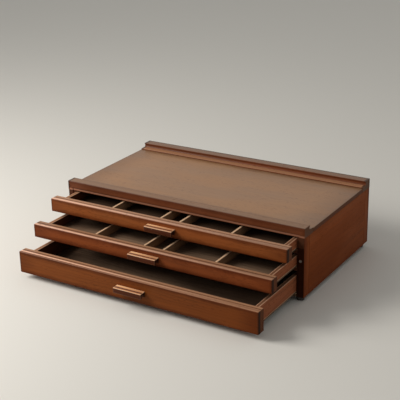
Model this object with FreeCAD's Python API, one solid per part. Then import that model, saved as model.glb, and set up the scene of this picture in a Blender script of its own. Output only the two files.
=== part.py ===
import FreeCAD, Part
import os

# Three-drawer wooden art supply box, drawn with its drawers pulled out.
# Millimetres. X runs along the width, the drawers pull towards -Y, Z is up.
# The feet stand on Z = 0, and the origin is the middle of the whole footprint,
# open drawers included.

Vector = FreeCAD.Vector

# Case
case_width = 400.0
case_depth = 224.0
foot_height = 7.0
rail_top = 110.6
panel_top = 102.4
top_panel_thickness = 6.0
bottom_panel_thickness = 4.5
back_panel_thickness = 5.0
back_panel_inset = 3.0
side_thickness = 11.6
frame_depth = 16.0
edge_ease = 0.8

# Section of the two rails that frame the top
rail_base_depth = 26.0
rail_top_round = 1.0
rail_nose_round = 1.0
rail_ledge_rise = 1.4
cove_depth = 1.3
bead_height = 3.2
bead_setback = 0.9
groove_width = 1.0
groove_depth = 1.0
stile_bead_width = 3.8
stile_bead_setback = 1.2

# Rubber feet and their screws
foot_radius = 6.0
foot_inset = 9.0
foot_draft = 0.8
foot_screw_radius = 1.5
foot_screw_recess = 3.5

# Drawer parts common to all three
front_width = 395.0
front_thickness = 15.0
front_ease = 1.3
front_score_setback = 8.0
front_score_width = 0.8
front_score_depth = 0.6
front_gap = 0.3
box_clearance = 1.0
box_length = 205.0
box_wall = 6.0
box_floor = 2.5
box_ease = 0.6
box_top_drop = 4.0
slide_gap = 0.3
closed_front_face = front_thickness + front_gap
longest_pull = closed_front_face + 160.0

# Each drawer: lower edge of its front, height of its front, lift of the box
# above that edge, and how far the front's face stands out from the case
drawers = {
    "top": {"low": 77.4, "height": 20.4, "lift": 0.0, "pull": 46.5},
    "middle": {"low": 51.6, "height": 20.4, "lift": 0.0, "pull": 89.3},
    "bottom": {"low": 9.4, "height": 33.0, "lift": 2.4, "pull": 125.9},
}

# Dividers stand across the top and the middle drawer
divided_drawers = ("top", "middle")
divider_thickness = 3.5
divider_places = {
    "outer_left": -100.5,
    "inner_left": -16.0,
    "inner_right": 16.0,
    "outer_right": 100.5,
}
divider_drop = 0.6

# Runner strips carry the top and the middle drawer
runner_width = 8.0
runner_height = 6.0
runner_front_setback = 2.0

# Bar handle with a finger groove underneath
handle_length = 46.0
handle_reach = 10.5
handle_height = 8.0
handle_slab = 3.2
handle_base = 2.6
handle_lip = 3.0
handle_step_start = 5.6
handle_step_width = 1.5
handle_step_depth = 1.0
handle_round = 0.9

# Screws and dowels
screw_play = 0.05
handle_screw_radius = 1.0
handle_screw_head = 2.0
handle_screw_offset = 15.0
handle_screw_bite = 6.0
front_screw_radius = 1.4
front_screw_head = 2.8
front_screw_bite = 8.0
front_screw_places = (-145.0, -58.0, 58.0, 145.0)
stile_screw_radius = 1.5
stile_screw_head = 2.3
stile_screw_length = 24.0
stile_screw_height = 61.8
dowel_radius = 3.0
dowel_half_length = 9.0
dowel_play = 0.05
side_dowel_heights = (30.0, 74.0)

# Places worked out from the dimensions above
half_width = case_width / 2
case_front = -case_depth / 2
case_back = case_depth / 2
opening_half = half_width - side_thickness
stile_back = case_front + frame_depth
post_front = case_back - frame_depth
opening_top = panel_top - top_panel_thickness
bottom_panel_top = foot_height + bottom_panel_thickness
back_panel_back = case_back - back_panel_inset
back_panel_front = back_panel_back - back_panel_thickness
stile_middle = half_width - side_thickness / 2
box_half = opening_half - box_clearance
box_inner_half = box_half - box_wall
sides = {"left": -1, "right": 1}
widest_pull = max(drawer["pull"] for drawer in drawers.values())
footprint_front = case_front - widest_pull - handle_reach
origin_y = (footprint_front + case_back) / 2

parts = {}


def board(x, y, z, ease=edge_ease):
    """A board between two X, two Y and two Z values, with all edges eased."""
    low = Vector(min(x), min(y), min(z))
    size = Vector(max(x), max(y), max(z)) - low
    block = Part.makeBox(size.x, size.y, size.z, low)
    return block.makeFillet(ease, block.Edges)


def bar_along_x(edges, length):
    """A section drawn in the YZ plane at X = -length / 2, drawn out along X."""
    face = Part.Face(Part.Wire(edges))
    return face.extrude(Vector(length, 0, 0))


def line(start, end):
    return Part.LineSegment(start, end).toShape()


def arc(start, middle, end):
    return Part.Arc(start, middle, end).toShape()


def corner_middle(start, corner, end):
    """The middle point of a round quarter corner between start and end."""
    centre = start + end - corner
    radius = (start - centre).Length
    out = corner - centre
    return centre + out.normalize() * radius


def rounded_outline(corners):
    """Closed outline through corners, each a point with its own radius."""
    marks = []
    count = len(corners)
    for index, (point, radius) in enumerate(corners):
        before = corners[index - 1][0] - point
        after = corners[(index + 1) % count][0] - point
        start = point + before.normalize() * radius
        end = point + after.normalize() * radius
        marks.append((start, point, end, radius))
    edges = []
    for index, (start, point, end, radius) in enumerate(marks):
        if radius > 0:
            edges.append(arc(start, corner_middle(start, point, end), end))
        following = marks[(index + 1) % count][0]
        if (following - end).Length > 1e-6:
            edges.append(line(end, following))
    return edges


def rod(start, direction, radius, length):
    return Part.makeCylinder(radius, length, start, direction)


def countersunk_screw(head, direction, radius, head_radius, length):
    """A screw whose flat head lies at the point head and which runs along direction."""
    cone_height = head_radius - radius
    cone = Part.makeCone(head_radius, radius, cone_height, head, direction)
    shank = rod(head, direction, radius, length)
    return cone.fuse(shank).removeSplitter()


def screw_hole(head, direction, radius, head_radius, length):
    """The hole that such a screw fills, larger by the play all round."""
    wide = radius + screw_play
    head_wide = head_radius + screw_play
    cone = Part.makeCone(head_wide, wide, head_wide - wide, head, direction)
    return cone.fuse(rod(head, direction, wide, length + screw_play))


def rail(face, inward, plain):
    """A top rail. face is the Y of its outer face and inward is +1 or -1."""

    def at(depth, height):
        return Vector(-half_width, face + inward * depth, height)

    ledge_top = panel_top + rail_ledge_rise
    nose_low = rail_top - rail_nose_round
    cove_low = ledge_top + rail_nose_round / 2
    cove_middle = (nose_low + cove_low) / 2
    edges = [
        line(at(0, rail_top - rail_top_round), at(0, panel_top)),
        line(at(0, panel_top), at(0, opening_top)),
        line(at(0, opening_top), at(rail_base_depth, opening_top)),
        line(at(rail_base_depth, opening_top), at(rail_base_depth, ledge_top - rail_nose_round)),
        arc(
            at(rail_base_depth, ledge_top - rail_nose_round),
            corner_middle(
                at(rail_base_depth, ledge_top - rail_nose_round),
                at(rail_base_depth, ledge_top),
                at(rail_base_depth - rail_nose_round, ledge_top),
            ),
            at(rail_base_depth - rail_nose_round, ledge_top),
        ),
        line(at(rail_base_depth - rail_nose_round, ledge_top), at(frame_depth, cove_low)),
        arc(
            at(frame_depth, cove_low),
            at(frame_depth - cove_depth, cove_middle),
            at(frame_depth, nose_low),
        ),
        arc(
            at(frame_depth, nose_low),
            corner_middle(
                at(frame_depth, nose_low),
                at(frame_depth, rail_top),
                at(frame_depth - rail_nose_round, rail_top),
            ),
            at(frame_depth - rail_nose_round, rail_top),
        ),
        line(at(frame_depth - rail_nose_round, rail_top), at(rail_top_round, rail_top)),
        arc(
            at(rail_top_round, rail_top),
            corner_middle(
                at(rail_top_round, rail_top),
                at(0, rail_top),
                at(0, rail_top - rail_top_round),
            ),
            at(0, rail_top - rail_top_round),
        ),
    ]
    shape = bar_along_x(edges, case_width)
    if plain:
        return shape
    bead_top = opening_top + bead_height
    reach = opening_half + stile_bead_width
    setback = Part.makeBox(
        2 * reach, bead_setback, bead_height, Vector(-reach, face, opening_top)
    )
    groove = Part.makeBox(
        2 * reach, groove_depth, groove_width, Vector(-reach, face, bead_top)
    )
    return shape.cut(setback).cut(groove)


def add_case_frame():
    """Rails, stiles and posts, which make the front and the rear frame."""
    parts["front_rail"] = rail(case_front, 1, plain=False)
    parts["rear_rail"] = rail(case_back, -1, plain=True)
    for side, sign in sides.items():
        outer = sign * half_width
        inner = sign * opening_half
        bead_line = sign * (opening_half + stile_bead_width)
        stile = board((outer, inner), (case_front, stile_back), (foot_height, opening_top))
        bead = Part.makeBox(
            stile_bead_width,
            stile_bead_setback,
            opening_top - foot_height,
            Vector(min(inner, bead_line), case_front, foot_height),
        )
        parts[f"front_stile_{side}"] = stile.cut(bead)
        post = board((outer, inner), (post_front, case_back), (foot_height, opening_top))
        parts[f"rear_post_{side}"] = post


def add_case_panels():
    for side, sign in sides.items():
        parts[f"side_panel_{side}"] = board(
            (sign * half_width, sign * opening_half),
            (stile_back, post_front),
            (foot_height, opening_top),
            ease=0.3,
        )
    parts["top_panel"] = board(
        (-half_width, half_width),
        (case_front + rail_base_depth, case_back - rail_base_depth),
        (opening_top, panel_top),
        ease=0.6,
    )
    parts["bottom_panel"] = board(
        (-opening_half, opening_half),
        (case_front, back_panel_front),
        (foot_height, bottom_panel_top),
        ease=0.4,
    )
    parts["back_panel"] = board(
        (-opening_half, opening_half),
        (back_panel_front, back_panel_back),
        (foot_height, opening_top),
        ease=0.4,
    )


def add_runners():
    """Strips on the side panels: their tops lie just under the drawer boxes."""
    for level, drawer in (("upper", "top"), ("lower", "middle")):
        top = drawers[drawer]["low"] + drawers[drawer]["lift"] - slide_gap
        for side, sign in sides.items():
            parts[f"runner_{level}_{side}"] = board(
                (sign * opening_half, sign * (opening_half - runner_width)),
                (case_front + runner_front_setback, back_panel_front),
                (top - runner_height, top),
                ease=0.5,
            )


def add_feet():
    """Four tapered rubber feet, each held by a screw from below."""
    screws = []
    down_to_panel = foot_height - foot_screw_recess
    for end, along in (("front", -1), ("rear", 1)):
        for side, sign in sides.items():
            x = sign * (half_width - foot_inset)
            y = along * (case_depth / 2 - foot_inset)
            bottom = Vector(x, y, 0)
            up = Vector(0, 0, 1)
            rubber = Part.makeCone(
                foot_radius - foot_draft, foot_radius, foot_height, bottom, up
            )
            rubber = rubber.makeFillet(0.6, [rubber.Edges[2]])
            well = rod(bottom, up, 2 * foot_screw_radius, foot_screw_recess)
            hole = rod(bottom, up, foot_screw_radius + screw_play, foot_height)
            parts[f"foot_{end}_{side}"] = rubber.cut(well).cut(hole)
            head = Vector(x, y, foot_screw_recess - foot_screw_radius)
            cap = rod(head, up, 2 * foot_screw_radius - screw_play, foot_screw_radius)
            shank = rod(head, up, foot_screw_radius, foot_screw_radius + down_to_panel + 8)
            screws.append(cap.fuse(shank).removeSplitter())
            socket = rod(
                Vector(x, y, foot_height - 0.1), up, foot_screw_radius + screw_play, 8.3
            )
            owner = f"front_stile_{side}" if along < 0 else f"rear_post_{side}"
            parts[owner] = parts[owner].cut(socket)
    parts["foot_screws"] = Part.makeCompound(screws)


def dowel_between(first, second, centre, direction):
    """A dowel across the joint at centre, with its holes cut in both boards."""
    start = centre - direction * dowel_half_length
    length = 2 * dowel_half_length
    hole = rod(
        start - direction * dowel_play, direction, dowel_radius + dowel_play, length + 2 * dowel_play
    )
    parts[first] = parts[first].cut(hole)
    parts[second] = parts[second].cut(hole)
    pin = rod(start, direction, dowel_radius, length)
    return pin.makeFillet(0.5, [pin.Edges[0], pin.Edges[2]])


def add_case_fasteners():
    up = Vector(0, 0, 1)
    back = Vector(0, 1, 0)
    rail_dowels = []
    side_dowels = []
    stile_screws = []
    for side, sign in sides.items():
        x = sign * stile_middle
        stile = f"front_stile_{side}"
        post = f"rear_post_{side}"
        panel = f"side_panel_{side}"
        front_joint = Vector(x, case_front + frame_depth / 2, opening_top)
        rear_joint = Vector(x, case_back - frame_depth / 2, opening_top)
        rail_dowels.append(dowel_between(stile, "front_rail", front_joint, up))
        rail_dowels.append(dowel_between(post, "rear_rail", rear_joint, up))
        for height in side_dowel_heights:
            stile_joint = Vector(x, stile_back, height)
            post_joint = Vector(x, post_front, height)
            side_dowels.append(dowel_between(stile, panel, stile_joint, back))
            side_dowels.append(dowel_between(panel, post, post_joint, back))
        head = Vector(x, case_front, stile_screw_height)
        sizes = (stile_screw_radius, stile_screw_head, stile_screw_length)
        stile_screws.append(countersunk_screw(head, back, *sizes))
        hole = screw_hole(head, back, *sizes)
        parts[stile] = parts[stile].cut(hole)
        parts[panel] = parts[panel].cut(hole)
    parts["rail_dowels"] = Part.makeCompound(rail_dowels)
    parts["side_dowels"] = Part.makeCompound(side_dowels)
    parts["stile_screws"] = Part.makeCompound(stile_screws)


def bar_handle(face, middle_height):
    """Bar handle on a drawer front: a slab with a step on top and a front lip."""
    top = middle_height + handle_height / 2
    low = middle_height - handle_height / 2
    step_end = handle_step_start + handle_step_width

    def at(reach, height):
        return Vector(-handle_length / 2, face - reach, height)

    corners = [
        (at(0, low), 0),
        (at(0, top), 0),
        (at(handle_step_start, top), 0.5),
        (at(handle_step_start, top - handle_step_depth), 0.3),
        (at(step_end, top - handle_step_depth), 0.3),
        (at(step_end, top - 0.2), 0.6),
        (at(handle_reach, top - 0.2), handle_round),
        (at(handle_reach, low), handle_round),
        (at(handle_reach - handle_lip, low), 0.6),
        (at(handle_reach - handle_lip, top - handle_slab), 1.2),
        (at(handle_base, top - handle_slab), 1.2),
        (at(handle_base, low), 0.4),
    ]
    return bar_along_x(rounded_outline(corners), handle_length)


def add_drawer(name, drawer):
    face = case_front - drawer["pull"]
    front_back = face + front_thickness
    front_low = drawer["low"]
    front_top = front_low + drawer["height"]
    front_half = front_width / 2
    box_low = front_low + drawer["lift"]
    box_top = front_top - box_top_drop
    box_back = front_back + box_length
    wall_low = box_low + box_floor
    inner_front = front_back + box_wall
    back = Vector(0, 1, 0)
    out = Vector(0, -1, 0)

    front = board(
        (-front_half, front_half), (face, front_back), (front_low, front_top), ease=front_ease
    )
    score = Part.makeBox(
        front_width,
        front_score_width,
        front_score_depth,
        Vector(-front_half, face + front_score_setback, front_top - front_score_depth),
    )
    front = front.cut(score)
    box_front = board(
        (-box_inner_half, box_inner_half), (front_back, inner_front), (wall_low, box_top), box_ease
    )
    for side, sign in sides.items():
        parts[f"{name}_drawer_side_{side}"] = board(
            (sign * box_half, sign * box_inner_half),
            (front_back, box_back),
            (wall_low, box_top),
            box_ease,
        )
    parts[f"{name}_drawer_back"] = board(
        (-box_inner_half, box_inner_half),
        (box_back - box_wall, box_back),
        (wall_low, box_top),
        box_ease,
    )
    parts[f"{name}_drawer_floor"] = board(
        (-box_half, box_half), (front_back, box_back), (box_low, wall_low), 0.4
    )

    middle_height = (front_low + front_top) / 2
    handle = bar_handle(face, middle_height)
    handle_screws = []
    screw_height = middle_height + handle_height / 2 - handle_slab / 2 - 0.5
    reach = inner_front - face + handle_screw_bite
    for sign in sides.values():
        head = Vector(sign * handle_screw_offset, inner_front, screw_height)
        sizes = (handle_screw_radius, handle_screw_head, reach)
        hole = screw_hole(head, out, *sizes)
        box_front = box_front.cut(hole)
        front = front.cut(hole)
        handle = handle.cut(hole)
        handle_screws.append(countersunk_screw(head, out, *sizes))

    front_screws = []
    screw_height = (wall_low + box_top) / 2
    reach = box_wall + front_screw_bite
    for x in front_screw_places:
        head = Vector(x, inner_front, screw_height)
        sizes = (front_screw_radius, front_screw_head, reach)
        hole = screw_hole(head, out, *sizes)
        box_front = box_front.cut(hole)
        front = front.cut(hole)
        front_screws.append(countersunk_screw(head, out, *sizes))

    parts[f"{name}_drawer_front"] = front
    parts[f"{name}_drawer_box_front"] = box_front
    parts[f"{name}_handle"] = handle
    parts[f"{name}_handle_screws"] = Part.makeCompound(handle_screws)
    parts[f"{name}_front_screws"] = Part.makeCompound(front_screws)

    if name in divided_drawers:
        for place, x in divider_places.items():
            parts[f"{name}_divider_{place}"] = board(
                (x - divider_thickness / 2, x + divider_thickness / 2),
                (inner_front, box_back - box_wall),
                (wall_low, box_top - divider_drop),
                ease=0.8,
            )


add_case_frame()
add_case_panels()
add_runners()
add_feet()
add_case_fasteners()
for drawer_name, drawer_sizes in drawers.items():
    add_drawer(drawer_name, drawer_sizes)

os.makedirs("parts", exist_ok=True)
for node, shape in parts.items():
    shape.translate(Vector(0, -origin_y, 0))
    shape.exportStep(f"parts/{node}.step")

print(len(parts), "nodes; the case's middle is at Y =", round(-origin_y, 3))
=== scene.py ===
# %% [markdown]
# # A walnut-stained drawer box, dressed for the studio
#
# The box is a low desktop chest for art supplies: a frame-and-panel case on
# four rubber feet, with three shallow drawers pulled out by different amounts.
# Its boards come from the construction model, so this lesson gives them their
# stain, grain and varnish, and builds the small pieces that need more form
# than the construction model has: handles, feet and screws.

# %% The construction frame
import math

import bpy
import numpy as np
from mathutils import Matrix, Vector


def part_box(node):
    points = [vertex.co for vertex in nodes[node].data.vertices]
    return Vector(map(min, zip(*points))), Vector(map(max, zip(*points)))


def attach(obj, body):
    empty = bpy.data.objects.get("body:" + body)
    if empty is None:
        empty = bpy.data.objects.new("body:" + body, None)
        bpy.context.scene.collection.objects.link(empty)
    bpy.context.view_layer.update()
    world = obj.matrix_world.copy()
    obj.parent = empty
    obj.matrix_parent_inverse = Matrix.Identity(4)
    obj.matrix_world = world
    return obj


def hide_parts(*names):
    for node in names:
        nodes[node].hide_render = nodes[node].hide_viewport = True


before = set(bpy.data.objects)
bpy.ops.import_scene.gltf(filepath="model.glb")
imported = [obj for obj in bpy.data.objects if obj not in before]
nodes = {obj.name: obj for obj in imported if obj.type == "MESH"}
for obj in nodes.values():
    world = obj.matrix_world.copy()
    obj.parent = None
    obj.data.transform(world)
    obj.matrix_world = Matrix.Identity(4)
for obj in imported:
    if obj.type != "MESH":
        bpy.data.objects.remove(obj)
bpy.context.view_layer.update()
print("boards and fittings loaded:", len(nodes))

# %% [markdown]
# ## The camera
#
# A camera can be placed by eye, or solved from straight edges whose real sizes
# are known. This one was solved: its place, its three angles and its lens come
# from the edges of the box. The angles are easier to read than a matrix, so
# the matrix is built from them: yaw turns the camera about the vertical,
# pitch tips it down, and roll leans it about its own line of sight.

# %% Camera
camera_place = Vector((0.74484, -1.18748, 0.64625))
camera_yaw = math.radians(31.78)
camera_pitch = math.radians(21.28)
camera_roll = math.radians(-1.30)
camera_lens = 92.09
camera_sensor = 36.0
camera_reach = 60.0


def camera_matrix(place, yaw, pitch, roll):
    """Columns are the camera's right, up and backward directions, then its place."""
    forward = Vector((
        -math.sin(yaw) * math.cos(pitch),
        math.cos(yaw) * math.cos(pitch),
        -math.sin(pitch),
    ))
    level_right = Vector((math.cos(yaw), math.sin(yaw), 0))
    level_up = level_right.cross(forward)
    right = level_right * math.cos(roll) + level_up * math.sin(roll)
    up = level_up * math.cos(roll) - level_right * math.sin(roll)
    turn = Matrix((right, up, -forward)).transposed().to_4x4()
    return Matrix.Translation(place) @ turn


camera_data = bpy.data.cameras.new("studio_camera")
camera_data.sensor_width = camera_sensor
camera_data.lens = camera_lens
camera_data.clip_end = camera_reach
camera = bpy.data.objects.new("studio_camera", camera_data)
camera.matrix_world = camera_matrix(camera_place, camera_yaw, camera_pitch, camera_roll)
bpy.context.scene.collection.objects.link(camera)
bpy.context.scene.camera = camera
bpy.context.scene.view_settings.view_transform = "Standard"
print("camera looks down by", round(math.degrees(camera_pitch), 2), "degrees")

# %% [markdown]
# ## Short ways to write a node tree
#
# Procedural finishes are node trees. Written out in full, each node takes
# several lines, so a small helper class keeps the recipes readable: every
# method adds one node or a few, links what it is given, and returns the socket
# that comes out. Effects that several materials share are node groups, which
# are built once and placed in each material with its own values.


# %% Node tree helper
class Recipe:
    """A shader node tree, written as a chain of short calls."""

    def __init__(self, tree):
        self.tree = tree

    def feed(self, socket, value):
        """Links value to the socket if it is a socket too, or else sets it."""
        if isinstance(value, bpy.types.NodeSocket):
            self.tree.links.new(value, socket)
        else:
            socket.default_value = value

    def add(self, kind, inputs=None, **settings):
        """A node of one kind, with its settings and with what its inputs are fed."""
        node = self.tree.nodes.new(kind)
        for name, value in settings.items():
            setattr(node, name, value)
        for name, value in (inputs or {}).items():
            self.feed(node.inputs[name], value)
        return node

    def math(self, operation, *values, clamp=False):
        node = self.add("ShaderNodeMath", dict(enumerate(values)), operation=operation)
        node.use_clamp = clamp
        return node.outputs[0]

    def vector(self, operation, *values):
        node = self.add("ShaderNodeVectorMath", dict(enumerate(values)), operation=operation)
        return node.outputs[0]

    def split(self, vector):
        return self.add("ShaderNodeSeparateXYZ", {0: vector}).outputs

    def noise(self, point, scale, detail=2.0, roughness=0.5):
        """Scale is one number, or three to stretch the noise differently along each axis."""
        if isinstance(scale, tuple):
            point = self.vector("MULTIPLY", point, scale)
            scale = 1.0
        inputs = {"Vector": point, "Scale": scale, "Detail": detail, "Roughness": roughness}
        return self.add("ShaderNodeTexNoise", inputs).outputs[0]

    def swing(self, noise, depth):
        """Noise swings about a half, so this swings about nought, by half of depth each way."""
        return self.math("MULTIPLY", self.math("SUBTRACT", noise, 0.5), depth)

    def ramp(self, value, low, high, to_low=0.0, to_high=1.0):
        """Eases value from to_low at low to to_high at high."""
        source = {"Value": value, "From Min": low, "From Max": high}
        target = {"To Min": to_low, "To Max": to_high}
        node = self.add("ShaderNodeMapRange", source | target, interpolation_type="SMOOTHSTEP")
        return node.outputs["Result"]

    def mix(self, share, first, second, blend="MIX"):
        """The first colour where share is 0, and the second one where it is 1."""
        inputs = {"Factor": share, "A": first, "B": second}
        return self.add("ShaderNodeMix", inputs, data_type="RGBA", blend_type=blend).outputs["Result"]

    def bump(self, height, strength, distance):
        inputs = {"Height": height, "Strength": strength, "Distance": distance}
        return self.add("ShaderNodeBump", inputs).outputs[0]

    def group(self, tree, inputs):
        return self.add("ShaderNodeGroup", inputs, node_tree=tree).outputs


# %% New node groups and materials
FLOAT = "NodeSocketFloat"
VECTOR = "NodeSocketVector"


def new_group(name, inputs, outputs):
    """An empty node group with named sockets, and the recipe that fills it."""
    tree = bpy.data.node_groups.new(name, "ShaderNodeTree")
    for label, kind in inputs.items():
        tree.interface.new_socket(label, in_out="INPUT", socket_type=kind)
    for label, kind in outputs.items():
        tree.interface.new_socket(label, in_out="OUTPUT", socket_type=kind)
    recipe = Recipe(tree)
    return recipe, recipe.add("NodeGroupInput").outputs, recipe.add("NodeGroupOutput").inputs


def new_material(name):
    """A material, the recipe that fills it, and the inputs of its shader."""
    material = bpy.data.materials.new(name)
    material.use_nodes = True
    shader = material.node_tree.nodes["Principled BSDF"]
    return material, Recipe(material.node_tree), shader.inputs


# %% [markdown]
# ## Grain
#
# A plank shows growth rings cut lengthwise. The rings are long cylinders round
# the tree's heart, so a pattern of distance from a line, sampled in three
# dimensions, gives streaks on the faces and arcs on the ends, and they meet at
# the edges as they do on real wood. A flat image could not do that. Noise that
# changes slowly along the plank bends the rings, and fine noise stretched
# forty times along the plank makes the fibres between them.

# %% Grain group
# Noise cells in each metre, along the grain and across it both ways
bend_cells = (3.0, 14.0, 14.0)
wobble_cells = (9.0, 60.0, 60.0)
fibre_cells = (12.0, 480.0, 480.0)
streak_cells = (5.0, 130.0, 130.0)
cloud_cells = (7.0, 22.0, 22.0)
bend_depth = 0.035
wobble_years = 0.9
early_wood_tone = 0.72
streak_contrast = 0.9
fibre_contrast = 0.5
late_wood_start = 0.45
year_end = 0.93
cloud_fade = (0.35, 0.68)


def make_grain_group():
    """Point has the grain along X. Tone is 0 in dark late wood and 1 in pale early wood."""
    recipe, given, result = new_group(
        "walnut_grain",
        {"Point": VECTOR, "Ring Density": FLOAT, "Ring Depth": FLOAT},
        {"Tone": FLOAT, "Fibre": FLOAT, "Cloud": FLOAT},
    )
    point = given["Point"]
    place = recipe.split(point)
    bend = recipe.noise(point, bend_cells, detail=3.0, roughness=0.55)
    across = recipe.math("ADD", place["Y"], recipe.swing(bend, bend_depth))
    squares = [recipe.math("POWER", side, 2.0) for side in (across, place["Z"])]
    from_heart = recipe.math("SQRT", recipe.math("ADD", *squares))
    turns = recipe.math("MULTIPLY", from_heart, given["Ring Density"])
    wobble = recipe.math("MULTIPLY", recipe.noise(point, wobble_cells), wobble_years)
    year = recipe.math("FRACT", recipe.math("ADD", turns, wobble))
    late_wood = recipe.ramp(year, late_wood_start, year_end)
    new_year = recipe.ramp(year, year_end, 1.0, 1.0, 0.0)
    rings = recipe.math("MULTIPLY", late_wood, new_year)
    fibre = recipe.noise(point, fibre_cells, detail=3.0, roughness=0.6)
    streak = recipe.noise(point, streak_cells, detail=3.0, roughness=0.6)
    darker = recipe.math("MULTIPLY", rings, given["Ring Depth"])
    tone = recipe.math("SUBTRACT", early_wood_tone, darker)
    tone = recipe.math("ADD", tone, recipe.swing(streak, streak_contrast))
    tone = recipe.math("ADD", tone, recipe.swing(fibre, fibre_contrast), clamp=True)
    recipe.feed(result["Tone"], tone)
    recipe.feed(result["Fibre"], fibre)
    recipe.feed(result["Cloud"], recipe.ramp(recipe.noise(point, cloud_cells), *cloud_fade))
    return recipe.tree


grain_group = make_grain_group()
print("grain group:", len(grain_group.nodes), "nodes")

# %% [markdown]
# ## Pores
#
# The open pores of stained wood are dark dashes about 5 mm long and half a
# millimetre wide. Cells of a Voronoi texture, stretched along the grain, place
# one dash at each cell's middle, and slow noise keeps the dashes in patches.
# The pores also feed the bump, so the varnish dips into them.

# %% Pore group
pore_cells = (95.0, 900.0, 900.0)
pore_patches = (14.0, 90.0, 90.0)
pore_fade = (0.12, 0.34)
patch_fade = (0.40, 0.62)


def make_pore_group():
    """Pore is Amount in the middle of a pore and 0 between pores."""
    recipe, given, result = new_group("open_pores", {"Point": VECTOR, "Amount": FLOAT}, {"Pore": FLOAT})
    stretched = recipe.vector("MULTIPLY", given["Point"], pore_cells)
    cells = recipe.add("ShaderNodeTexVoronoi", {"Vector": stretched, "Scale": 1.0, "Randomness": 1.0})
    dash = recipe.ramp(cells.outputs["Distance"], *pore_fade, 1.0, 0.0)
    present = recipe.ramp(recipe.noise(given["Point"], pore_patches), *patch_fade)
    pore = recipe.math("MULTIPLY", dash, present)
    recipe.feed(result["Pore"], recipe.math("MULTIPLY", pore, given["Amount"]))
    return recipe.tree


pore_group = make_pore_group()
print("pore group:", len(pore_group.nodes), "nodes")

# %% [markdown]
# ## Worn edges
#
# Sanding rubs the stain off the edges of a board, and hands do the rest, so
# each edge shows as a pale line. A board is a box, so the distance to its
# nearest edge can be worked out: take the depth of a point below each pair of
# faces. On the surface the smallest depth is nought, and the middle one of the
# three is the distance to the nearest edge.

# %% Edge group
rub_cells = 190.0
rub_swing = 0.9
rub_fade = (0.5, 1.25)
shade_cells = 38.0
shade_swing = 0.8


def make_edge_group():
    """Point is measured from the board's middle, and Half is half its size.
    Edge is 1 on a worn edge, and Shade fades from 1 at the edge to 0 at Shade Width."""
    recipe, given, result = new_group(
        "worn_edges",
        {"Point": VECTOR, "Half": VECTOR, "Width": FLOAT, "Shade Width": FLOAT},
        {"Edge": FLOAT, "Shade": FLOAT},
    )
    point = given["Point"]
    x, y, z = recipe.split(recipe.vector("SUBTRACT", given["Half"], recipe.vector("ABSOLUTE", point)))
    smaller = recipe.math("MINIMUM", x, y)
    larger = recipe.math("MAXIMUM", x, y)
    distance = recipe.math("MAXIMUM", smaller, recipe.math("MINIMUM", larger, z))
    rub = recipe.swing(recipe.noise(point, rub_cells, detail=3.0, roughness=0.65), rub_swing)
    rub = recipe.math("ADD", rub, recipe.math("DIVIDE", distance, given["Width"]))
    recipe.feed(result["Edge"], recipe.ramp(rub, *rub_fade, 1.0, 0.0))
    shade = recipe.swing(recipe.noise(point, shade_cells, detail=3.0, roughness=0.6), shade_swing)
    shade = recipe.math("ADD", shade, recipe.math("DIVIDE", distance, given["Shade Width"]))
    recipe.feed(result["Shade"], recipe.ramp(shade, 0.0, 1.0, 1.0, 0.0))
    return recipe.tree


edge_group = make_edge_group()
print("edge group:", len(edge_group.nodes), "nodes")

# %% [markdown]
# ## A board's own coordinates
#
# Each board gets a material of its own, because no two boards come from the
# same place in the tree. The pattern is centred on the board, turned so that X
# runs along the grain, and moved to another place in the tree by the board's
# own number. Masks pick out a face by its normal, and a narrow strip of a face
# by the distance from the low side of the board.

# %% Board
grain_turns = {"X": (0, 0, 0), "Y": (0, 0, math.pi / 2), "Z": (0, -math.pi / 2, 0)}
strip_softness = 0.0004
face_fade = (0.6, 0.95)


def place_in_tree(number):
    """Metres along the trunk, and out from its heart both ways. Each board is sawn 0.37 m
    further along, from one of 7 places aside and 5 above, so no two boards match."""
    along = 0.37 * number % 5
    aside = 0.031 + 0.011 * (number % 7)
    above = 0.022 + 0.009 * (number % 5)
    return along, aside, above


class Board:
    """A board between the corners low and high, as the sockets that its material reads."""

    def __init__(self, recipe, low, high, grain, number):
        texture = recipe.add("ShaderNodeTexCoord").outputs
        self.recipe = recipe
        self.low = low
        self.high = high
        self.point = texture["Object"]
        self.place = recipe.split(self.point)
        self.facing = recipe.split(texture["Normal"])
        centred = recipe.vector("SUBTRACT", self.point, tuple((low + high) / 2))
        turn = {"Vector": centred, "Rotation": grain_turns[grain]}
        turned = recipe.add("ShaderNodeMapping", turn, vector_type="TEXTURE").outputs[0]
        self.log_point = recipe.vector("ADD", turned, place_in_tree(number))
        self.end_facing = recipe.math("ABSOLUTE", self.facing[grain])
        half_length = (high - low)["XYZ".index(grain)] / 2
        from_middle = recipe.math("ABSOLUTE", recipe.split(turned)["X"])
        self.from_end = recipe.math("SUBTRACT", half_length, from_middle)

    def face(self, direction):
        """1 on the faces that look along direction, such as +Z, easing to 0 on the others."""
        sign, axis = direction
        along = self.recipe.math("MULTIPLY", self.facing[axis], 1 if sign == "+" else -1)
        return self.recipe.ramp(along, *face_fade)

    def strip(self, axis, start, end):
        """1 between two distances, in metres, from the low side of the board along one axis."""
        distance = self.recipe.math("SUBTRACT", self.place[axis], self.low["XYZ".index(axis)])
        begins = self.recipe.ramp(distance, start - strip_softness, start + strip_softness)
        ends = self.recipe.ramp(distance, end - strip_softness, end + strip_softness, 1.0, 0.0)
        return self.recipe.math("MULTIPLY", begins, ends)

    def drift(self, axis, low_share, high_share):
        """Eases from one share at the low side of the board to another at its high side."""
        number = "XYZ".index(axis)
        ends = (self.low[number], self.high[number])
        return self.recipe.ramp(self.place[axis], *ends, low_share, high_share)


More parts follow.
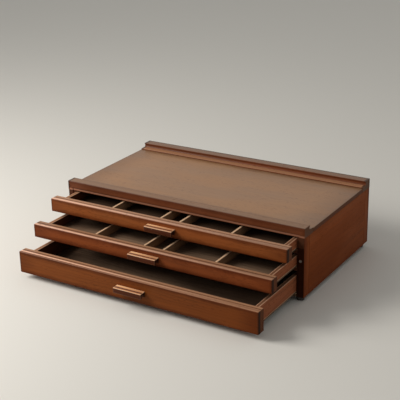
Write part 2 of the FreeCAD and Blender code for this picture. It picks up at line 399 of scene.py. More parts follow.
# %% [markdown]
# ## Stain
#
# A finisher works in layers, and so does the colour. The stained wood comes
# first, pale in early wood and dark in late wood, with warmer cloudy patches.
# A toner then darkens it where end grain drinks more, towards the edges and at
# the ends. A slow drift along the board darkens it too, and that is painted
# shade. Whole faces may have a tint of their own, which on upward faces is mostly
# a painted sheen, and strips mark what is too thin for that: a pale rubbed line
# along a top edge with a painted highlight on it, painted shade in a scored
# groove and at a joint. Pores and worn edges come last.

# %% Colour of the stain
pore_share = 0.75
end_grain_fade = (0.75, 0.95)
upward_fade = (0.0, 0.6)
untouched_share = 0.08


def toner_mask(board, finish, edges):
    """The strongest of end grain, shaded edges, and the drift, which is painted shade, with its darker
    ends.
    """
    recipe = board.recipe
    end_grain = recipe.ramp(board.end_facing, *end_grain_fade, 0.0, finish["end_dark"])
    shade = recipe.math("MULTIPLY", edges["Shade"], finish["shade"])
    end_shade = recipe.ramp(board.from_end, 0.0, finish["end_width"], finish["end_shade"], 0.0)
    drift = recipe.math("ADD", board.drift(*finish["drift"]), end_shade)
    return recipe.math("MAXIMUM", recipe.math("MAXIMUM", end_grain, shade), drift)


def stain_colour(board, finish, wood, pore, edges):
    """Wood, clouds, toner, tinted faces, strips, pores and worn edges, laid in that order."""
    recipe = board.recipe
    cloud = recipe.math("MULTIPLY", wood["Cloud"], finish["blotch"])
    colour = recipe.mix(cloud, recipe.mix(wood["Tone"], *finish["wood"]), finish["warm"])
    toned = recipe.mix(1.0, colour, finish["toner"], "MULTIPLY")
    colour = recipe.mix(toner_mask(board, finish, edges), colour, toned)
    # Tints and strips also carry painted light: a sheen on upward faces, highlights and shades in
    # narrow strips, and shares that fade them from left to right.
    for face, (tint, share) in finish["tints"].items():
        mask = recipe.math("MULTIPLY", board.face(face), share)
        colour = recipe.mix(mask, colour, recipe.mix(wood["Tone"], *tint))
    for face, axis, start, end, tint, left_share, right_share in finish["strips"].values():
        mask = recipe.math("MULTIPLY", board.face(face), board.drift("X", left_share, right_share))
        mask = recipe.math("MULTIPLY", mask, board.strip(axis, start, end))
        colour = recipe.mix(mask, colour, recipe.mix(wood["Tone"], *tint))
    colour = recipe.mix(recipe.math("MULTIPLY", pore, pore_share), colour, finish["pore"])
    touched = recipe.ramp(board.facing["Z"], *upward_fade, untouched_share, 1.0)
    worn = recipe.math("MULTIPLY", recipe.math("MULTIPLY", edges["Edge"], finish["wear"]), touched)
    return recipe.mix(worn, colour, finish["edge"])


# %% [markdown]
# ## Varnish
#
# Satin varnish is a thin coat over the stain. It pools on faces that lay flat
# while it dried, so the coat is full there and a tenth of that on the sides.
# Fibres, pores and clouds break up its roughness, and the bump is shallow: an
# eighth of a millimetre is as deep as a pore looks.

# %% Varnish and the whole board
fibre_roughness = 0.16
pore_roughness = 0.2
cloud_roughness = 0.08
coat_fade = (0.3, 0.9)
upright_coat_share = 0.1
fibre_height = 0.5
grain_bump_strength = 0.35
grain_bump_depth = 0.00012


def lay_varnish(surface, board, finish, wood, pore):
    """Feeds the shader's roughness, coat and normal, and sets its constant values."""
    recipe = board.recipe
    rough = finish["rough"] - fibre_roughness / 2
    rough = recipe.math("MULTIPLY_ADD", wood["Fibre"], fibre_roughness, rough)
    rough = recipe.math("MULTIPLY_ADD", pore, pore_roughness, rough)
    rough = recipe.math("MULTIPLY_ADD", wood["Cloud"], cloud_roughness, rough)
    recipe.feed(surface["Roughness"], rough)
    surface["Specular IOR Level"].default_value = finish["gloss"]
    upright_coat = finish["coat"] * upright_coat_share
    coat = recipe.ramp(board.facing["Z"], *coat_fade, upright_coat, finish["coat"])
    recipe.feed(surface["Coat Weight"], coat)
    surface["Coat Roughness"].default_value = finish["coat_rough"]
    fibres = recipe.math("MULTIPLY", wood["Fibre"], fibre_height)
    height = recipe.math("MULTIPLY_ADD", pore, -1.0, fibres)
    recipe.feed(surface["Normal"], recipe.bump(height, grain_bump_strength, grain_bump_depth))


def stained_wood(name, low, high, grain, finish, number, edge_box=None):
    """A varnished board between the corners low and high, with its grain along one axis.
    Where boards meet flush, edge_box gives the corners of the whole that they make."""
    material, recipe, surface = new_material(name)
    board = Board(recipe, low, high, grain, number)
    rings = {"Ring Density": finish["rings"], "Ring Depth": finish["ring_depth"]}
    wood = recipe.group(grain_group, {"Point": board.log_point, **rings})
    pore = recipe.group(pore_group, {"Point": board.log_point, "Amount": finish["pores"]})["Pore"]
    edge_low, edge_high = edge_box or (low, high)
    edge_point = recipe.vector("SUBTRACT", board.point, tuple((edge_low + edge_high) / 2))
    edge_inputs = {
        "Point": edge_point,
        "Half": tuple((edge_high - edge_low) / 2),
        "Width": finish["edge_width"],
        "Shade Width": finish["shade_width"],
    }
    edges = recipe.group(edge_group, edge_inputs)
    recipe.feed(surface["Base Color"], stain_colour(board, finish, wood, pore, edges))
    lay_varnish(surface, board, finish, wood, pore)
    return material


# %% [markdown]
# ## Finishes of the drawer fronts
#
# One finish is a small dictionary of colours and numbers. Wood, warm, toner,
# pore and edge are colours, widths are in metres, and the rest are shares from
# 0 to 1, apart from rings, which are counted in each metre. Drift names an
# axis and the shares at its two ends, and the darkening it gives is painted
# shade. A tint is a stain and its share on one face, and on upward faces it is
# mostly a painted sheen. A strip is a face, the axis that it is measured along,
# its start and end in metres, its stain, and its shares at the left and the right
# end. Shares that change from left to right make the painted highlights and
# shades of some strips fade away from the lamp.
#
# The top drawer's front is written out in full. Every other finish starts from
# one before it and says only what differs.


# %% Colours
def screen_colour(red, green, blue):
    """A colour as a screen shows it, 0 to 255, turned into the linear values of light:
    the share over 12.92 in the deepest shadows, and else ((share + 0.055) / 1.055) ^ 2.4."""
    shares = np.array([red, green, blue]) / 255
    linear = np.where(shares <= 0.04045, shares / 12.92, ((shares + 0.055) / 1.055) ** 2.4)
    return (*linear.tolist(), 1.0)


def stain(red, green, blue, spread=0.16):
    """A stain as a pair of screen colours, the darker one for late wood."""
    dark = [round(value * (1 - spread)) for value in (red, green, blue)]
    light = [round(value * (1 + spread)) for value in (red, green, blue)]
    return screen_colour(*dark), screen_colour(*light)


# %% Top front
def length_of(name):
    """A node's length from left to right, in metres."""
    low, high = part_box(name)
    return high.x - low.x


front_length = length_of("top_drawer_front")
no_drift = ("X", 0.0, 0.0)
top_front_wood = {
    "wood": stain(121, 69, 36),
    "warm": screen_colour(142, 75, 32),
    "toner": screen_colour(150, 118, 92),
    "pore": screen_colour(44, 22, 12),
    "edge": screen_colour(150, 100, 70),
    # Painted shade: the front darkens towards its right end, away from the lamp.
    "drift": ("X", 0.0, 0.12),
    "end_shade": 0.4,
    "end_width": 0.04,
    "edge_width": 0.0010,
    "shade_width": 0.009,
    "wear": 0.15,
    "shade": 0.75,
    "blotch": 0.55,
    "rings": 260.0,
    "ring_depth": 0.3,
    "pores": 0.8,
    "end_dark": 0.5,
    "rough": 0.42,
    "gloss": 0.06,
    "coat": 0.2,
    "coat_rough": 0.25,
    "tints": {
        # Painted sheen: the upward faces of the fronts are paler, as the lamp and the sky make them.
        "+Z": (stain(166, 124, 94, 0.1), 0.85),
        # Painted shade: the right end faces, away from the lamp, are darker than the left ones.
        "+X": (stain(84, 48, 28), 0.8),
    },
    "strips": {
        # Painted light on the front strip of the top, under the painted highlight that follows.
        "top before the line": ("+Z", "Y", 0.0, 0.0058, stain(136, 98, 74), 0.8, 0.9),
        # A pale rubbed line with a painted highlight, which fades towards the right, away from the
        # lamp.
        "rubbed top with painted highlight": ("+Z", "Y", 0.0010, 0.0050, stain(230, 180, 152, 0.06), 0.9, 0.0),
        # Painted shade in the scored groove, wider than the groove itself.
        "painted shade in the scored line": ("+Z", "Y", 0.0064, 0.0090, stain(76, 44, 30), 0.5, 0.5),
        "front of the end": ("+X", "Y", 0.0, 0.0050, stain(40, 22, 12), 1.0, 1.0),
        "left edge": ("-Y", "X", 0.0, 0.0016, stain(74, 44, 28), 0.7, 0.7),
        "right edge": (
            "-Y", "X", front_length - 0.0014, front_length + 0.0010, stain(60, 34, 20), 0.7, 0.7,
        ),
    },
}
print("fronts are", round(front_length * 1000, 1), "mm long")

# %% Middle and bottom fronts
middle_front_wood = {
    **top_front_wood,
    "wood": stain(109, 56, 28),
    "warm": screen_colour(124, 62, 28),
    "drift": no_drift,
    # Painted sheen on the upward faces, a little darker than on the top front.
    "tints": {**top_front_wood["tints"], "+Z": (stain(150, 112, 84, 0.1), 0.85)},
    "strips": {
        **top_front_wood["strips"],
        # A pale rubbed line with a painted highlight, fading towards the right.
        "rubbed top with painted highlight": ("+Z", "Y", 0.0010, 0.0044, stain(236, 186, 158, 0.06), 0.9, 0.1),
        # Painted shade in the scored groove.
        "painted shade in the scored line": ("+Z", "Y", 0.0064, 0.0090, stain(76, 44, 30), 0.7, 0.7),
    },
}
bottom_front_wood = {
    **top_front_wood,
    "wood": stain(106, 57, 24),
    "warm": screen_colour(124, 64, 24),
    # Painted shade: the bottom front darkens more towards its right end, away from the lamp.
    "drift": ("X", 0.0, 0.25),
    "strips": {
        "shaded front edge": ("+Z", "Y", 0.0, 0.0026, stain(100, 58, 34), 0.8, 0.1),
        **top_front_wood["strips"],
        # Painted light on the front strip of the top, under the painted highlight that follows.
        "top before the line": ("+Z", "Y", 0.0026, 0.0066, stain(134, 96, 72), 0.8, 0.9),
        # A pale rubbed line with a painted highlight, fading towards the right.
        "rubbed top with painted highlight": ("+Z", "Y", 0.0031, 0.0061, stain(236, 186, 158, 0.06), 0.95, 0.0),
        # Painted shade in the scored groove, fading towards the right.
        "painted shade in the scored line": ("+Z", "Y", 0.0074, 0.0100, stain(76, 44, 30), 0.7, 0.35),
    },
}
print("bands on the bottom front:", ", ".join(bottom_front_wood["strips"]))

# %% [markdown]
# ## Finishes of the case
#
# The rails are stained like the fronts, a little darker, with dark ends. Their
# tops carry a painted greyish sheen, the rear rail's ledge a painted highlight
# and the front rail's bead a fainter one. The sides are smooth and even, and
# painted shade darkens them towards the bottom. The stiles behind the fronts are
# nearly black: a dark front with the shadow of the drawers painted over it,
# lighter near the top. The top panel is the palest and glossiest board.

# %% Rails
rail_length = length_of("rear_rail")
dark_stain = stain(40, 26, 18)
front_rail_wood = {
    **top_front_wood,
    "wood": stain(102, 58, 36),
    "warm": screen_colour(116, 60, 32),
    "edge": screen_colour(70, 42, 28),
    "drift": no_drift,
    "end_shade": 0.2,
    "wear": 0.2,
    "shade": 0.5,
    "tints": {
        # Painted sheen: the tops of the rails are greyish, as grazing light makes them.
        "+Z": (stain(129, 98, 74, 0.08), 0.9),
        "+X": (stain(88, 56, 36), 0.8),
    },
    "strips": {
        # Painted highlight on the bead, a little fainter at the right.
        "bead": ("-Y", "Z", 0.0004, 0.0030, stain(160, 112, 88, 0.1), 0.7, 0.6),
        "left edge": ("-Y", "X", 0.0, 0.0022, dark_stain, 0.7, 0.7),
        "left end of the top": ("+Z", "X", 0.0, 0.003, dark_stain, 0.8, 0.8),
        "front edge of the top": ("+Z", "Y", 0.0, 0.0012, stain(60, 34, 22), 0.8, 0.8),
        # Painted shadow where the rail meets the top panel.
        "painted shadow at the joint with the top panel": ("+Z", "Y", 0.0142, 0.0164, stain(84, 60, 46), 0.7, 0.5),
    },
}
rear_rail_wood = {
    **front_rail_wood,
    "wood": stain(96, 54, 32),
    "tints": {
        # Painted greyish sheen on the top.
        "+Z": (stain(120, 90, 68, 0.08), 0.85),
        "+X": (stain(92, 66, 48), 0.8),
    },
    "strips": {
        # Painted highlight on the ledge.
        "ledge": ("+Z", "Y", 0.0002, 0.0096, stain(158, 112, 82, 0.1), 0.85, 0.85),
        "left end": ("+Z", "X", 0.0, 0.004, dark_stain, 0.75, 0.75),
        "right end": ("+Z", "X", rail_length - 0.003, rail_length + 0.001, dark_stain, 0.8, 0.8),
        "rear edge": ("+Z", "Y", 0.0230, 0.0262, stain(48, 34, 26), 0.85, 0.85),
        "rear of the end": ("+X", "Y", 0.0235, 0.0262, dark_stain, 0.8, 0.8),
    },
}
print("rails are", round(rail_length * 1000, 1), "mm long")

# %% Sides, stiles and top panel
side_wood = {
    **top_front_wood,
    "wood": stain(133, 68, 27),
    "warm": screen_colour(120, 54, 14),
    # Painted shade: the sides darken towards the bottom.
    "drift": ("Z", 0.38, 0.0),
    "end_shade": 0.0,
    "shade_width": 0.012,
    "wear": 0.1,
    "shade": 0.6,
    "rings": 150.0,
    "ring_depth": 0.18,
    "end_dark": 0.9,
    "gloss": 0.04,
    "coat": 0.03,
    "tints": {},
    "strips": {},
}
stile_wood = {
    **side_wood,
    # A dark front with the painted shadow of the pulled-out drawers over it.
    "tints": {"-Y": (stain(34, 16, 9), 0.92)},
    # Less painted shadow near the top of the front.
    "strips": {"paler top, less painted shadow": ("-Y", "Z", 0.074, 0.092, stain(84, 52, 36), 0.5, 0.5)},
}
panel_end = (stain(84, 44, 22), 0.95)
top_wood = {
    **side_wood,
    "wood": stain(134, 97, 64, 0.08),
    "warm": screen_colour(152, 108, 67),
    "toner": screen_colour(162, 146, 126),
    "edge": screen_colour(90, 66, 46),
    "drift": no_drift,
    "end_shade": 0.42,
    "end_width": 0.05,
    "shade_width": 0.014,
    "wear": 0.6,
    "blotch": 0.7,
    "end_dark": 0.0,
    "rough": 0.40,
    "gloss": 0.05,
    "coat": 0.45,
    "coat_rough": 0.3,
    "tints": {"+X": panel_end, "-X": panel_end},
}
print("growth rings of the sides lie", round(1000 / side_wood["rings"], 1), "mm apart")

# %% [markdown]
# ## Finishes inside the drawers
#
# Inside the drawers the stain is thin and matt, and there is no varnish. The
# top edges of the boards are worn pale, and their upward faces carry a painted
# sheen, paler on the drawers' left sides than on their right sides, as light
# from the left would make them. The plywood of the floors has large soft
# patches, and painted shade darkens it near the walls; the top drawer's floor is
# a darker copy, for the painted shadow of the case over it. The thin strips of
# the dividers are paler than the boards. The outsides of the drawer's own sides
# are warmer. Dowels are plain beech.

# %% Drawer boxes
inside = {
    **top_front_wood,
    "wood": stain(84, 46, 28),
    "warm": screen_colour(84, 42, 22),
    "edge": screen_colour(206, 160, 130),
    "drift": no_drift,
    "end_shade": 0.0,
    "edge_width": 0.0012,
    "shade_width": 0.004,
    "wear": 0.9,
    "shade": 0.5,
    "rough": 0.6,
    "coat": 0.0,
    # Painted sheen: the upward faces inside the drawers are paler.
    "tints": {"+Z": (stain(132, 96, 72, 0.1), 0.75)},
    "strips": {},
}
box_front_wood = {
    **inside,
    # Painted sheen on the top of the box front.
    "tints": {"+Z": (stain(156, 116, 90, 0.1), 0.85)},
}
left_side_wood = {
    **inside,
    "tints": {
        # Painted light: the tops of the left sides are paler than those of the right sides, as light
        # from the left makes them.
        "+Z": (stain(150, 112, 84, 0.1), 0.8),
        "-X": (stain(150, 86, 54), 0.9),
    },
}
right_side_wood = {
    **inside,
    "tints": {
        # Painted shade: the tops of the right sides are darker than those of the left sides.
        "+Z": (stain(112, 78, 56, 0.1), 0.8),
        "+X": (stain(142, 84, 56), 0.9),
    },
}

# %% Floors, dividers and dowels
floor_ply = {
    **inside,
    "wood": stain(116, 94, 76),
    "warm": screen_colour(58, 42, 33),
    "edge": screen_colour(200, 168, 136),
    # Painted shade: the floors darken over a wide band near the walls.
    "shade_width": 0.02,
    "wear": 1.0,
    "blotch": 0.7,
    "tints": {},
}
# A darker copy of the floor: painted shadow of the case over the top drawer's floor.
shadowed_top_floor_ply = {
    **floor_ply,
    "wood": stain(64, 48, 37),
    "warm": screen_colour(46, 32, 24),
}
divider_strip = {
    **inside,
    "wood": stain(150, 116, 88),
    "warm": screen_colour(150, 112, 80),
    "edge": screen_colour(226, 190, 154),
    "wear": 0.6,
    "tints": {"+Z": (stain(214, 178, 144, 0.08), 0.9)},
}
beech = {
    **inside,
    "wood": stain(194, 154, 110, 0.1),
    "warm": screen_colour(200, 158, 112),
    "edge": screen_colour(220, 186, 146),
    "wear": 0.3,
    "pores": 0.3,
    "tints": {},
}

# %% [markdown]
# ## Dressing the boards
#
# Which way the grain runs follows how a joiner cuts the pieces: along the
# length of each board. Rails, fronts and the top panel run across the box,
# the sides and the dividers run front to back, and the stiles and posts stand.

# %% Boards and their finishes
board_finishes = [
    ("front_rail", "X", front_rail_wood),
    ("rear_rail", "X", rear_rail_wood),
    ("stile", "Z", stile_wood),
    ("post", "Z", side_wood),
    ("side_panel", "Y", side_wood),
    ("top_panel", "X", top_wood),
    ("bottom_panel", "X", floor_ply),
    ("back_panel", "X", side_wood),
    ("runner", "Y", inside),
    ("top_drawer_front", "X", top_front_wood),
    ("middle_drawer_front", "X", middle_front_wood),
    ("bottom_drawer_front", "X", bottom_front_wood),
    ("drawer_box_front", "X", box_front_wood),
    ("drawer_side_left", "Y", left_side_wood),
    ("drawer_side_right", "Y", right_side_wood),
    ("drawer_back", "X", inside),
    ("top_drawer_floor", "X", shadowed_top_floor_ply),
    ("drawer_floor", "X", floor_ply),
    ("divider", "Y", divider_strip),
    ("dowels", "X", beech),
]
flush_boards = ("side_panel", "stile_", "post_")


def finish_for(name):
    """The grain direction and finish of the first rule whose words are in the node's name."""
    for words, grain, finish in board_finishes:
        if words in name and not name.endswith("screws"):
            return grain, finish
    return None


def case_side_box():
    """Corners of the whole that the side boards make with the end of the top panel."""
    panel_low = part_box("side_panel_left")[0]
    stile_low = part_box("front_stile_left")[0]
    post_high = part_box("rear_post_right")[1]
    top_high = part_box("top_panel")[1]
    low = Vector((panel_low.x, stile_low.y, panel_low.z))
    return low, Vector((post_high.x, post_high.y, top_high.z))


def dress(node, material):
    """Puts one material on a construction node, whatever it had before."""
    node.data.materials.clear()
    node.data.materials.append(material)


dressed = 0
for number, name in enumerate(sorted(nodes)):
    rule = finish_for(name)
    if rule:
        low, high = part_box(name)
        edge_box = case_side_box() if any(word in name for word in flush_boards) else None
        dress(nodes[name], stained_wood(name + "_wood", low, high, *rule, number, edge_box))
        dressed += 1
print("boards dressed:", dressed)

# %% [markdown]
# ## From arrays to meshes
#
# Every new piece is a stack of rings: each ring is one closed outline, and the
# next ring is the same outline moved, shrunk or turned a little. The faces
# follow from counting along the array, so one function turns any such stack
# into a closed mesh. Several copies of a stack may share one mesh.


# %% Rings to mesh
def ring_piece(name, rings, body, material, replaced):
    """A closed piece from an array of shape (copies, rings, points, 3), capped at both ends."""
    copies, count, around = rings.shape[:3]
    row = np.arange(count - 1)[:, None] * around
    column = np.arange(around)[None, :]
    following = (column + 1) % around
    corners = [row + column, row + following, row + around + following, row + around + column]
    quads = np.stack(corners, axis=-1)
    first = np.arange(copies)[:, None] * count * around
    walls = (quads.reshape(1, -1) + first).reshape(-1, 4)
    start_caps = np.arange(around)[::-1] + first
    end_caps = np.arange(around) + (count - 1) * around + first
    faces = walls.tolist() + start_caps.tolist() + end_caps.tolist()
    mesh = bpy.data.meshes.new(name)
    mesh.from_pydata(rings.reshape(-1, 3).tolist(), [], faces)
    mesh.shade_smooth()
    mesh.materials.append(material)
    piece = bpy.data.objects.new(name, mesh)
    bpy.context.scene.collection.objects.link(piece)
    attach(piece, body)
    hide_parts(*replaced)


# %% [markdown]
# ## Handles
#
# A handle is one length of moulding. Its outline is a slab with a lip hanging
# from its front, for two fingers, and a groove along the top. The outline is
# carried along X, and near each end it is drawn in by a quarter circle, which
# is what a few strokes of sandpaper do to the ends of a real one. The top has
# a painted sheen, painted shade in the groove and a painted highlight behind
# it that fades towards the right, and the lip is dark.

# %% Handle outline
handle_slab = 0.0032
handle_base = 0.0026
handle_lip = 0.0030
handle_groove = (0.0056, 0.0071)
handle_groove_depth = 0.0010
handle_front_drop = 0.0002
handle_end_ease = 0.0007
ease_rings = 7


def rounded_outline(corners, radii, steps=7):
    """Each corner C becomes the curve (1-t)^2 A + 2t(1-t) C + t^2 B, with A and B a radius from it."""
    corners = np.array(corners)
    radii = np.array(radii)[:, None]
    before = np.roll(corners, 1, axis=0) - corners
    after = np.roll(corners, -1, axis=0) - corners
    start = corners + radii * before / np.linalg.norm(before, axis=1, keepdims=True)
    end = corners + radii * after / np.linalg.norm(after, axis=1, keepdims=True)
    t = np.linspace(0, 1, steps)[None, :, None]
    curve = (1 - t) ** 2 * start[:, None] + 2 * t * (1 - t) * corners[:, None] + t**2 * end[:, None]
    return curve.reshape(-1, 2)


def handle_outline(reach, low, top):
    """Points (distance from the drawer front, height), starting at the lower back corner.
    Each corner is given with its rounding, before the curves are worked out."""
    groove_start, groove_end = handle_groove
    groove_floor = top - handle_groove_depth
    front_top = top - handle_front_drop
    lip_back = reach - handle_lip
    slab_low = top - handle_slab
    corners = np.array([
        (0, low, 0.0002),
        (0, top, 0.0002),
        (groove_start, top, 0.0006),
        (groove_start, groove_floor, 0.0003),
        (groove_end, groove_floor, 0.0003),
        (groove_end, front_top, 0.0004),
        (reach, front_top, 0.0011),
        (reach, low, 0.0010),
        (lip_back, low, 0.0008),
        (lip_back, slab_low, 0.0012),
        (handle_base, slab_low, 0.0012),
        (handle_base, low, 0.0004),
    ])
    return rounded_outline(corners[:, :2], corners[:, 2])


def handle_rings(low, high):
    """Ring k lies at x_k. It is drawn in along its own normals by e - sqrt(e^2 - (e - d)^2)
    at a distance d under e from an end, with e the ease."""
    outline = handle_outline(high.y - low.y, low.z, high.z)
    along = np.roll(outline, -1, axis=0) - np.roll(outline, 1, axis=0)
    normal = np.stack([along[:, 1], -along[:, 0]], axis=1)
    normal /= np.linalg.norm(normal, axis=1, keepdims=True)
    ease = handle_end_ease
    d = ease * (1 - np.cos(np.linspace(0, math.pi / 2, ease_rings)))
    inset = ease - np.sqrt(ease**2 - (ease - d) ** 2)
    x = np.concatenate([low.x + d, [0.0], (high.x - d)[::-1]])
    inset = np.concatenate([inset, [0.0], inset[::-1]])
    flat = outline[None] + inset[:, None, None] * normal[None]
    rings = np.empty((*flat.shape[:2], 3))
    rings[..., 0] = x[:, None]
    rings[..., 1] = high.y - flat[..., 0]
    rings[..., 2] = flat[..., 1]
    return rings[None]


# %% Handles
drawers = ("top", "middle", "bottom")
handle_number = 70
handle_end = (stain(50, 24, 14), 0.9)
handle_wood = {
    **top_front_wood,
    "wood": stain(84, 42, 24),
    "warm": screen_colour(96, 48, 24),
    "edge": screen_colour(236, 192, 152),
    "drift": no_drift,
    "end_shade": 0.0,
    "edge_width": 0.0011,
    "wear": 0.65,
    "shade": 0.0,
    "rough": 0.34,
    "gloss": 0.1,
    "coat": 0.3,
    "coat_rough": 0.2,
    "tints": {
        # Painted sheen on the top of the handle.
        "+Z": (stain(180, 120, 80, 0.08), 0.9),
        "-Y": (stain(62, 26, 8), 0.9),
        "+X": handle_end,
        "-X": handle_end,
    },
    "strips": {
        # Painted shade in the groove.
        "groove": ("+Z", "Y", 0.0030, 0.0052, stain(84, 44, 26), 0.9, 0.9),
        # Painted highlight behind the groove, fading towards the right, away from the lamp.
        "painted highlight behind the groove": ("+Z", "Y", 0.0066, 0.0110, stain(252, 200, 148, 0.04), 0.9, 0.2),
    },
}

for number, drawer in enumerate(drawers):
    node = drawer + "_handle"
    low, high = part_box(node)
    wood = stained_wood(node + "_wood", low, high, "X", handle_wood, handle_number + number)
    rings = handle_rings(low, high)
    ring_piece(node + "_moulding", rings, drawer + "_drawer", wood, [node])
    print(node, "is", round((high.x - low.x) * 1000, 1), "mm long")

# %% [markdown]
# ## Screws
#
# A screw is a stack of circles: a nearly flat head, a cone down to the shank,
# and the shank. The head's height is a formula of x and y, so a cross recess
# is one more term in it: it is deep where the smaller of |x| and |y| is within
# half the slot's width and the larger is within the slot's length.

# %% Screw surface
head_circles = 15
screw_sides = 64
# Share of the shank's radius
tip_radius = 0.3
# Shares of the head's radius
dome_height = 0.06
slot_depth = 0.45
slot_half_width = (0.09, 0.17)
slot_half_length = (0.50, 0.62)
rim_radii = [1.0, 0.99]
rim_levels = [-0.10, -0.16]
innermost_circle = 0.03


def circle(points):
    """Angles of the given number of points round a circle."""
    return np.linspace(0, 2 * math.pi, points, endpoint=False)


def step_down(values, low, high):
    """With t running from 0 at low to 1 at high, 1 - t^2 (3 - 2t), which eases from 1 to 0."""
    t = np.clip((values - low) / (high - low), 0, 1)
    return 1 - t * t * (3 - 2 * t)


def screw_rings(head_radius, shank_radius, length, turn):
    """Rings (k, angle) with the head's middle at the origin and the shank along -Z.
    Height over the head is dome - depth * slot, and turn is the angle of the cross."""
    angles = circle(screw_sides)
    share = np.linspace(innermost_circle, 1, head_circles)[:, None]
    x = share * np.cos(angles - turn)
    y = share * np.sin(angles - turn)
    narrow = np.minimum(abs(x), abs(y))
    wide = np.maximum(abs(x), abs(y))
    slot = step_down(narrow, *slot_half_width) * step_down(wide, *slot_half_length)
    head_height = head_radius * (dome_height * (1 - share**2) - slot_depth * slot - dome_height)
    shank_radii = [shank_radius, shank_radius, tip_radius * shank_radius]
    shank_levels = [shank_radius - head_radius, shank_radius - length, -length]
    radius = np.concatenate([np.array(rim_radii) * head_radius, shank_radii])
    level = np.concatenate([np.array(rim_levels) * head_radius, shank_levels])
    radii = np.concatenate([share[:, 0] * head_radius, radius])[:, None]
    heights = np.concatenate([head_height, np.repeat(level[:, None], screw_sides, axis=1)])
    return np.stack([radii * np.cos(angles), radii * np.sin(angles), heights], axis=-1)


def placed_screws(places, outward, sizes, turns):
    """Copies of a screw, one at each place, whose heads face the direction outward."""
    turn = np.array(Vector(outward).to_track_quat("Z", "Y").to_matrix())
    screws = np.stack([screw_rings(*sizes, angle) for angle in turns])
    return screws @ turn.T + np.array(places)[:, None, None, :]


# %% Zinc plated steel
mottle_scale = 900.0
mottle_fade = (0.35, 0.65)
mark_cells = (2600.0, 700.0, 700.0)
mark_fade = (0.3, 0.7)


def plated_steel(name):
    """Dull zinc: mottled grey, and fine marks left by turning that change its gloss."""
    material, recipe, surface = new_material(name)
    point = recipe.add("ShaderNodeTexCoord").outputs["Object"]
    mottle = recipe.ramp(recipe.noise(point, mottle_scale, detail=3.0), *mottle_fade)
    marks = recipe.noise(point, mark_cells)
    colour = recipe.mix(mottle, screen_colour(142, 140, 134), screen_colour(182, 180, 174))
    recipe.feed(surface["Base Color"], colour)
    recipe.feed(surface["Metallic"], recipe.ramp(mottle, 0.0, 1.0, 0.75, 1.0))
    recipe.feed(surface["Roughness"], recipe.ramp(marks, *mark_fade, 0.28, 0.5))
    recipe.feed(surface["Normal"], recipe.bump(marks, strength=0.25, distance=0.00005))
    return material


steel = plated_steel("zinc_plated_steel")

# %% Screws in their places
# Radius of the head and radius of the shank, in metres
stile_screw = (0.0023, 0.0015)
handle_screw = (0.0020, 0.0010)
front_screw = (0.0028, 0.0014)
front_screw_places = (-0.145, -0.058, 0.058, 0.145)
first_cross_turn = 0.4
next_cross_turn = 1.9


def screw_group(node, places, outward, sizes, body):
    """Stands for a node that holds several screws. Each cross is turned by its own angle."""
    turns = first_cross_turn + next_cross_turn * np.arange(len(places))
    rings = placed_screws(places, outward, sizes, turns)
    ring_piece(node + "_crosshead", rings, body, steel, [node])
    print(node + ":", len(places))


def screw_pair(node, screw, facing, body):
    """Two screws, one at each end of their node. Facing is -1 for heads at the front, else 1."""
    low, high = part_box(node)
    head_radius = screw[0]
    head_face = low.y if facing < 0 else high.y
    places = [(x, head_face, (low.z + high.z) / 2) for x in (low.x + head_radius, high.x - head_radius)]
    screw_group(node, places, (0, facing, 0), (*screw, high.y - low.y), body)


screw_pair("stile_screws", stile_screw, -1, "case")
for drawer in drawers:
    screw_pair(drawer + "_handle_screws", handle_screw, 1, drawer + "_drawer")
    low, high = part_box(drawer + "_front_screws")
    places = [(x, high.y, (low.z + high.z) / 2) for x in front_screw_places]
    front_sizes = (*front_screw, high.y - low.y)
    screw_group(drawer + "_front_screws", places, (0, 1, 0), front_sizes, drawer + "_drawer")

# %% [markdown]
# ## Feet
#
# The feet are moulded rubber: a flange under the case, a neck, a tapered body
# with a rounded rim, and a well for the screw. Each is one outline of radius
# and height turned about its own axis.

# %% Foot outline
foot_height_mm = 7.0
foot_well_mm = 3.5
pole_radius_mm = 0.05
pole_rounding_mm = 0.01
foot_sides = 56
# Radius, height and rounding of each corner, in millimetres
foot_corners_mm = np.array([
    (pole_radius_mm, foot_height_mm, pole_rounding_mm),
    (6.0, foot_height_mm, 0.35),
    (6.0, 5.7, 0.3),
    (5.5, 5.3, 0.2),
    (5.7, 4.9, 0.2),
    (5.3, 0.0, 0.8),
    (3.1, 0.0, 0.5),
    (3.0, foot_well_mm, 0.1),
    (pole_radius_mm, foot_well_mm, pole_rounding_mm),
])


def foot_rings(middle):
    """Ring k is a circle of the outline's k-th radius at its k-th height, about middle.
    The outline runs from the pole on top, round the rim, to the pole in the well."""
    eased = rounded_outline(foot_corners_mm[:, :2], foot_corners_mm[:, 2])
    eased = eased.reshape(len(foot_corners_mm), -1, 2)
    outline = np.concatenate([eased[0, :1], eased[1:-1].reshape(-1, 2), eased[-1, -1:]]) / 1000
    angles = circle(foot_sides)
    rings = np.empty((len(outline), len(angles), 3))
    rings[..., 0] = middle.x + outline[:, :1] * np.cos(angles)
    rings[..., 1] = middle.y - outline[:, :1] * np.sin(angles)
    rings[..., 2] = outline[:, 1:]
    return rings[None]


# %% Rubber
speck_scale = 2400.0
speck_fade = (0.3, 0.7)
dust_scale = 260.0
dust_fade = (0.45, 0.75)


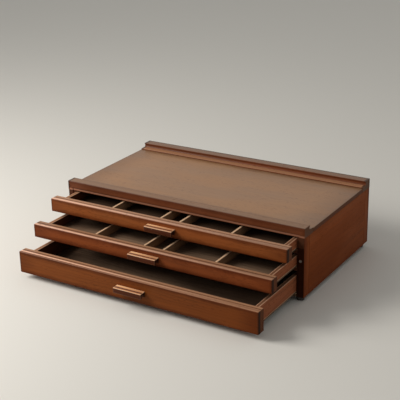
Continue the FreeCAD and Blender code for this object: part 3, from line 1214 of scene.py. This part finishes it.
def moulded_rubber(name):
    """Black rubber with a fine moulded grain and grey dust that gathers in patches."""
    material, recipe, surface = new_material(name)
    point = recipe.add("ShaderNodeTexCoord").outputs["Object"]
    speck = recipe.noise(point, speck_scale)
    dust = recipe.noise(point, dust_scale, detail=4.0, roughness=0.6)
    dust = recipe.ramp(dust, *dust_fade)
    colour = recipe.mix(dust, screen_colour(26, 24, 23), screen_colour(66, 61, 56))
    recipe.feed(surface["Base Color"], colour)
    recipe.feed(surface["Roughness"], recipe.ramp(speck, *speck_fade, 0.62, 0.82))
    recipe.feed(surface["Normal"], recipe.bump(speck, strength=0.3, distance=0.00008))
    return material


# %% Feet and their screws
foot_screw_level = 0.0020
# Radius of the head, radius of the shank, and length
foot_screw_sizes = (0.0029, 0.0015, 0.013)
rubber = moulded_rubber("moulded_rubber")
foot_heads = []
for name in sorted(nodes):
    if name.startswith("foot_") and name != "foot_screws":
        low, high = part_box(name)
        middle = (low + high) / 2
        foot_heads.append((middle.x, middle.y, foot_screw_level))
        ring_piece(name + "_turned", foot_rings(middle), "case", rubber, [name])
screw_group("foot_screws", foot_heads, (0, 0, -1), foot_screw_sizes, "case")
print("feet:", len(foot_heads))

# %% [markdown]
# ## Floor and lamp
#
# The studio is a plain pale floor under an even sky. One large soft lamp stands
# high in front on the left: the eased top edges of the boards mirror it as thin
# pale lines, which painted highlights on the fronts and handles make stronger,
# and the right side falls into shade. What the flat top mirrors is the sky low
# behind the box, which gives its satin sheen.

# %% Floor
floor_reach = 14.0
floor_mesh = bpy.data.meshes.new("studio_floor")
floor_corners = floor_reach * np.array([[-1, -1, 0], [1, -1, 0], [1, 1, 0], [-1, 1, 0]])
floor_mesh.from_pydata(floor_corners.tolist(), [], [[0, 1, 2, 3]])
studio_floor = bpy.data.objects.new("studio_floor", floor_mesh)
bpy.context.scene.collection.objects.link(studio_floor)

floor_material, _, floor_surface = new_material("studio_floor")
floor_surface["Base Color"].default_value = screen_colour(222, 220, 214)
floor_surface["Roughness"].default_value = 0.8
floor_mesh.materials.append(floor_material)

# %% Lamp
lamp_place = Vector((-0.95, -0.7, 0.85))
lamp_target = Vector((0.0, 0.0, 0.05))
lamp_light = bpy.data.lights.new("lamp_high_left", "AREA")
lamp_light.size = 0.7
lamp_light.energy = 19
lamp_light.color = (1.0, 0.96, 0.91)
lamp = bpy.data.objects.new("lamp_high_left", lamp_light)
lamp.location = lamp_place
lamp.rotation_euler = (lamp_target - lamp_place).to_track_quat("-Z", "Y").to_euler()
bpy.context.scene.collection.objects.link(lamp)
print("lamp stands", round((lamp_target - lamp_place).length, 2), "m from the box")

# %% Sky
sky_level = 0.36
mirrored_level = 0.85
sky_colour = (1.0, 0.985, 0.95, 1.0)
sky = bpy.data.worlds.new("studio_sky")
sky.use_nodes = True
bpy.context.scene.world = sky
sky_recipe = Recipe(sky.node_tree)
rays = sky_recipe.add("ShaderNodeLightPath").outputs
mirrored = sky_recipe.math("MAXIMUM", rays["Is Camera Ray"], rays["Is Glossy Ray"])
mirrored = sky_recipe.math("MAXIMUM", mirrored, rays["Is Transmission Ray"])
level = sky_recipe.math("MULTIPLY_ADD", mirrored, mirrored_level - sky_level, sky_level)
background = sky.node_tree.nodes["Background"]
background.inputs["Color"].default_value = sky_colour
sky_recipe.feed(background.inputs["Strength"], level)
